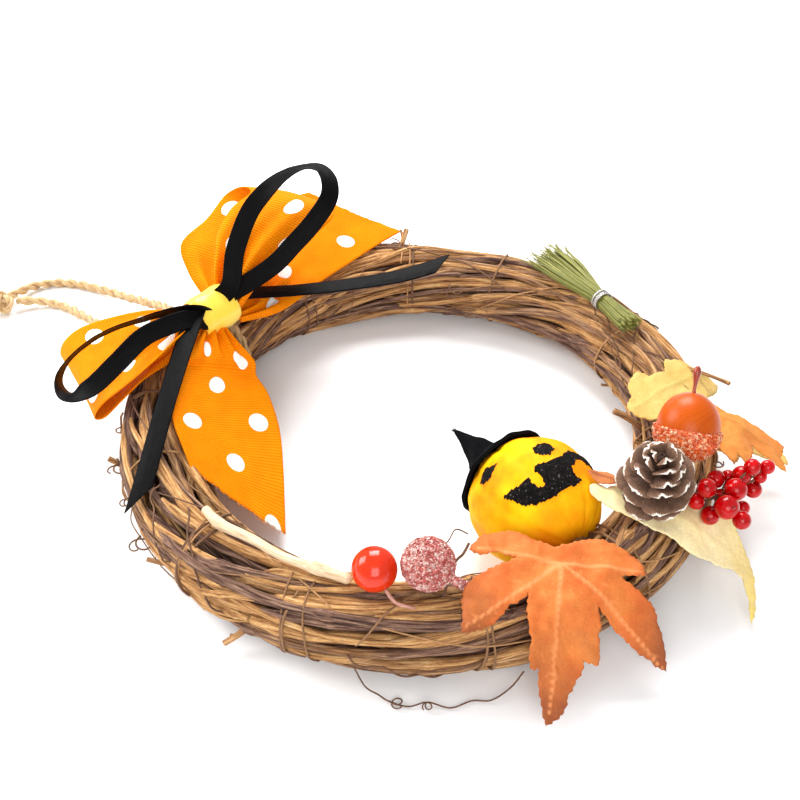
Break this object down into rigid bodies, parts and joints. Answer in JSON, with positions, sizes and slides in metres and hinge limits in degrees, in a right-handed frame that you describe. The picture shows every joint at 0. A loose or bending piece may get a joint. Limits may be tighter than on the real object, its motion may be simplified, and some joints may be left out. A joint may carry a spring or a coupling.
{
  "type": "harvest door wreath",
  "caption": "Round grapevine door wreath with a ribbon bow, twine hanger, small pumpkin in a pointed hat, fabric leaves, berries, acorn, pine cone and straw broom.",
  "frame": {"origin": "centre of the vine ring on the plane that its back rests on", "axes": "+Z out of the front of the wreath, +Y to the twine hanger at its top, +X to the right seen from the front"},
  "size_m": [0.2098, 0.3254, 0.0832],
  "materials": {
    "acorn_lacquer": "lacquered",
    "acorn_tip": "lacquered",
    "black_felt": "felt",
    "black_satin": "satin",
    "brown_leaf_fabric": "printed fabric leaf",
    "cone_scale": "dry scales with white rims",
    "gold_leaf_fabric": "printed fabric leaf",
    "gold_satin": "satin",
    "green_straw": "dyed straw",
    "jute_twine": "hairy two-ply twine",
    "maple_fabric": "printed fabric leaf",
    "orange_grosgrain": "ribbed ribbon with white dots",
    "orange_lacquer": "lacquered",
    "pale_leaf_fabric": "back of a printed fabric leaf",
    "pumpkin_foam": "painted foam with black glitter face",
    "red_lacquer": "lacquered",
    "silver_thread": "metallic thread",
    "stripped_vine": "stripped, dry",
    "sugared_berry": "sugar-frosted",
    "sugared_cap": "sugar-frosted",
    "tendril": "rough bark",
    "vine_bark": "rough bark",
    "wire": "thin wire",
    "yellow_leaf_fabric": "printed fabric leaf"
  },
  "bodies": {
    "root": {"acorn_cap": "sugared_cap", "acorn_nut": "acorn_lacquer", "acorn_tip": "acorn_tip", "bark_ties": "tendril", "black_loop_left": "black_satin", "black_loop_right": "black_satin", "black_tail_lower": "black_satin", "black_tail_right": "black_satin", "bow_gather": "orange_grosgrain", "bow_wire": "wire", "brown_leaf_tip": "brown_leaf_fabric", "cluster_berries": "red_lacquer", "cluster_stem": "tendril", "curly_tendrils": "tendril", "gold_band": "gold_satin", "gold_leaf": "gold_leaf_fabric", "hanger_knot": "jute_twine", "hanger_ring_wrap": "jute_twine", "hanger_strand_lower": "jute_twine", "hanger_strand_upper": "jute_twine", "hat_brim": "black_felt", "hat_cone": "black_felt", "maple_leaf": "maple_fabric", "orange_berry": "orange_lacquer", "orange_berry_wire": "wire", "orange_loop_left": "orange_grosgrain", "orange_loop_right": "orange_grosgrain", "orange_tail_lower": "orange_grosgrain", "orange_tail_right": "orange_grosgrain", "pale_leaf": "pale_leaf_fabric", "pale_vine": "stripped_vine", "pinecone_core": "cone_scale", "pinecone_scales": "cone_scale", "pumpkin_body": "pumpkin_foam", "straw_broom": "green_straw", "straw_tie": "silver_thread", "sugared_berry": "sugared_berry", "sugared_berry_stem": "sugared_berry", "twig_stubs": "vine_bark", "vine_turn_01": "vine_bark", "vine_turn_02": "vine_bark", "vine_turn_03": "vine_bark", "vine_turn_04": "vine_bark", "vine_turn_05": "vine_bark", "vine_turn_06": "vine_bark", "vine_turn_07": "vine_bark", "vine_turn_08": "vine_bark", "vine_turn_09": "vine_bark", "vine_turn_10": "vine_bark", "vine_turn_11": "vine_bark", "vine_turn_12": "vine_bark", "vine_turn_13": "vine_bark", "vine_turn_14": "vine_bark", "vine_turn_15": "vine_bark", "vine_turn_16": "vine_bark", "vine_turn_17": "vine_bark", "vine_turn_18": "vine_bark", "vine_turn_19": "vine_bark", "yellow_leaf": "yellow_leaf_fabric"}
  },
  "joints": []
}
